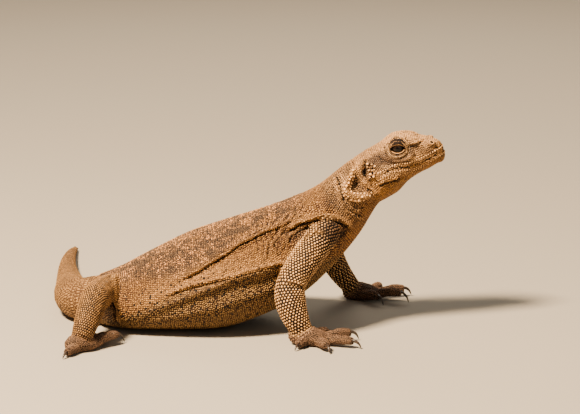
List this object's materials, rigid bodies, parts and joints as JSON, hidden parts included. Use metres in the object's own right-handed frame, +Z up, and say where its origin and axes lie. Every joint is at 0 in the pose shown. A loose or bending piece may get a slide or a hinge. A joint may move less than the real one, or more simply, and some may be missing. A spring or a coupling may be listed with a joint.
{
  "type": "chuckwalla",
  "caption": "Stout desert lizard with loose folded skin, resting on its belly and propped on its forelegs with the head raised.",
  "frame": {"origin": "middle of the flat where the belly rests on the floor", "axes": "+X forward towards the head, +Y to the animal's left, +Z up from the floor"},
  "size_m": [0.1896, 0.2239, 0.0922],
  "materials": {
    "body_skin": "dry scaled hide, mottled tan and grey brown with dark specks",
    "head_skin": "dry granular hide, pale scales on the lips and neck fold",
    "tail_skin": "dry hide in rings of small scales",
    "leg_skin": "dark skin set with raised cream scales",
    "foot_skin": "dark brown granular hide",
    "wet_eye": "clear wet cornea over a dark brown iris",
    "claw_horn": "dark worn horn"
  },
  "bodies": {
    "root": {"head": "head_skin", "jaw": "head_skin", "neck": "head_skin", "eye_left": "wet_eye", "eye_right": "wet_eye", "torso": "body_skin", "tail_1": "tail_skin", "tail_2": "tail_skin", "tail_3": "tail_skin", "tail_4": "tail_skin", "tail_5": "tail_skin", "upper_arm_left": "leg_skin", "forearm_left": "leg_skin", "hand_left": "foot_skin", "thigh_left": "leg_skin", "shank_left": "leg_skin", "foot_left": "foot_skin", "upper_arm_right": "leg_skin", "forearm_right": "leg_skin", "hand_right": "foot_skin", "thigh_right": "leg_skin", "shank_right": "leg_skin", "foot_right": "foot_skin", "claw_front_left_1": "claw_horn", "claw_front_left_2": "claw_horn", "claw_front_left_3": "claw_horn", "claw_front_left_4": "claw_horn", "claw_front_left_5": "claw_horn", "claw_front_right_1": "claw_horn", "claw_front_right_2": "claw_horn", "claw_front_right_3": "claw_horn", "claw_front_right_4": "claw_horn", "claw_front_right_5": "claw_horn", "claw_hind_left_1": "claw_horn", "claw_hind_left_2": "claw_horn", "claw_hind_left_3": "claw_horn", "claw_hind_left_4": "claw_horn", "claw_hind_left_5": "claw_horn", "claw_hind_right_1": "claw_horn", "claw_hind_right_2": "claw_horn", "claw_hind_right_3": "claw_horn", "claw_hind_right_4": "claw_horn", "claw_hind_right_5": "claw_horn"}
  },
  "joints": []
}
